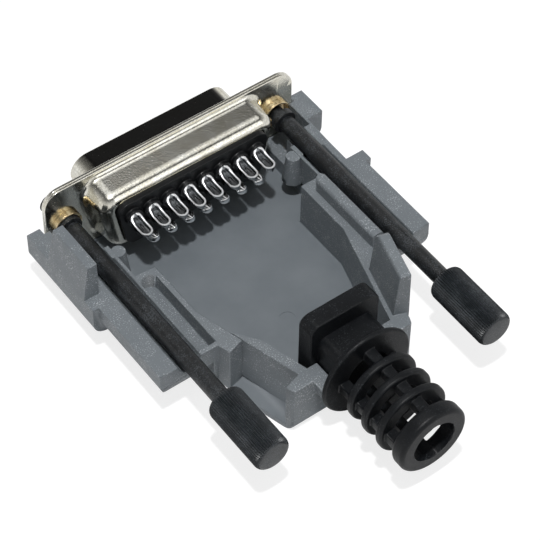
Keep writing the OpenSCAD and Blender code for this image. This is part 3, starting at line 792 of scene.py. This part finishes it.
# %% Solder contacts
def contact(name, node, x, z, over, end):
    """Spin the pin, bridge the sections of the cup, weld the tip."""
    bm = spun(PIN, x * MM, z * MM, 32)
    sections = [cup_section(y, y, rim, 1.0) for y, rim in CUP_SLOPE]
    middle = -end + TIP_R
    for degrees in (0, 15, 30, 45, 60, 72, 82, 89.3):
        a = math.radians(degrees)
        sections.append(cup_section(middle - TIP_R * math.sin(a), middle - BORE_TIP_R * math.sin(a),
                                    0.0, math.cos(a)))
    rings_of_cup = [loop(bm, [((x + px) * MM, py * MM, (z + over * pz) * MM) for px, py, pz in points])
                    for points in sections]
    bmesh.ops.triangle_fill(bm, edges=rings_of_cup[0], use_beauty=True)
    bridged(bm, rings_of_cup)
    tip = [v for v in bm.verts if v.co.y < (middle - WELD_REACH) * MM]
    bmesh.ops.remove_doubles(bm, verts=tip, dist=WELD * MM)
    bmesh.ops.remove_doubles(bm, verts=bm.verts, dist=TINY)
    bmesh.ops.recalc_face_normals(bm, faces=bm.faces)
    obj = to_object(bm, name)
    finish_mesh(obj, contact_metal, "hood", 50)
    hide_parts(node)
    return obj


for number in range(1, UPPER_COUNT + LOWER_COUNT + 1):
    is_upper = number <= UPPER_COUNT
    count = UPPER_COUNT if is_upper else LOWER_COUNT
    index = number - 1 if is_upper else number - 1 - UPPER_COUNT
    across = (index - (count - 1) / 2) * CONTACT_PITCH
    last = contact("solder_contact_%02d" % number, "contact_%02d" % number, across,
                   ROW_Z if is_upper else -ROW_Z, 1 if is_upper else -1,
                   UPPER_END if is_upper else LOWER_END)
print(number, "contacts,", len(last.data.polygons), "faces each")

# %% [markdown]
# ## Thumbscrews
# The head is a bar with a straight knurl: about fifty small teeth run along it, and its ends are
# rounded. A bump texture could fake the teeth, but they show in the outline, so they are real: a profile
# is spun round the screw's axis, and then every other column of vertices is pushed in. The shank is a
# long turned bar with a short thread at its tip; the thread is a small pointed ridge, two edges spun
# with an advance on each step, which makes a helix with its root inside the bar.

# %% Knurled heads
TEETH, KNURL_DEPTH = 48, 0.17
SHANK_R = 1.20
for side_name, x in screw_x.items():
    low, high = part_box("knurled_head_" + side_name)
    front, rear, r = high.y / MM, low.y / MM, (high.x - low.x) / 2 / MM
    profile = [(SHANK_R - 0.02, front - 1.0), (SHANK_R - 0.02, front)]
    profile += arc(r - 0.55, front - 0.5, 0.5, 90, 20, 5)
    profile += [(r, front - 0.6), (r, front - 0.9), (r, rear + 1.1), (r, rear + 0.7)]
    profile += arc(r - 0.65, rear + 0.65, 0.62, -8, -90, 6)
    profile += [(0.6, rear), (0.0, rear)]
    bm = spun(profile, x, 0, TEETH * 2)
    for vert in bm.verts:
        dx, dz = vert.co.x - x, vert.co.z
        radius = math.hypot(dx, dz)
        if radius > (r - 0.35) * MM:
            column = round(math.atan2(dz, dx) / (math.pi / TEETH))
            if column % 2:
                inward = 1 - KNURL_DEPTH * MM / radius
                vert.co.x, vert.co.z = x + dx * inward, dz * inward
    head = to_object(bm, "thumb_head_" + side_name)
    finish_mesh(head, head_black, "thumbscrew_" + side_name, 60)
    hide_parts("knurled_head_" + side_name)
    print(head.name, len(head.data.polygons), "faces,", TEETH, "teeth")

# %% Shanks
THREAD_PITCH, THREAD_R, ROOT_R, THREAD_LEN, TURNS = 0.635, 1.42, 1.06, 2.2, 3
GROOVE_R = 1.04
# the helix advances by less than the pitch, so that its turns end before the tip
ADVANCE = 0.82 * THREAD_PITCH
ROW_STEP = 1.5
for side_name, x in screw_x.items():
    low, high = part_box("screw_shank_" + side_name)
    tip, rear = high.y / MM, low.y / MM
    ring_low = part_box("retaining_ring_" + side_name)[0].y / MM
    thread_back = tip - THREAD_LEN
    profile = [(0.0, tip), (ROOT_R - 0.25, tip), (ROOT_R, tip - 0.3), (ROOT_R, thread_back),
               (GROOVE_R, thread_back - 0.1), (GROOVE_R, ring_low - 0.06),
               (SHANK_R - 0.04, ring_low - 0.07), (SHANK_R, ring_low - 0.14)]
    y = ring_low - 1.0
    while y > rear + 0.8:
        profile.append((SHANK_R, y))
        y -= ROW_STEP
    profile += [(SHANK_R, rear), (0.0, rear)]
    bm = spun(profile, x, 0, 48)
    start_y = (thread_back + 0.05) * MM
    corners = [bm.verts.new((x + radius * MM, start_y + y * MM, 0))
               for radius, y in ((ROOT_R - 0.05, 0.0), (THREAD_R, 0.27), (ROOT_R - 0.05, 0.54))]
    flanks = [bm.edges.new(pair) for pair in zip(corners, corners[1:])]
    steps = 32 * TURNS
    bmesh.ops.spin(bm, geom=corners + flanks, cent=(x, 0, 0), axis=(0, 1, 0), steps=steps,
                   dvec=(0, ADVANCE * MM * TURNS / steps, 0), angle=2 * math.pi * TURNS)
    shank = to_object(bm, "thumb_shank_" + side_name)
    finish_mesh(shank, screw_black, "thumbscrew_" + side_name, 50)
    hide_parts("screw_shank_" + side_name)
    print(shank.name, len(shank.data.polygons), "faces, thread advance", round(ADVANCE, 2), "mm a turn")
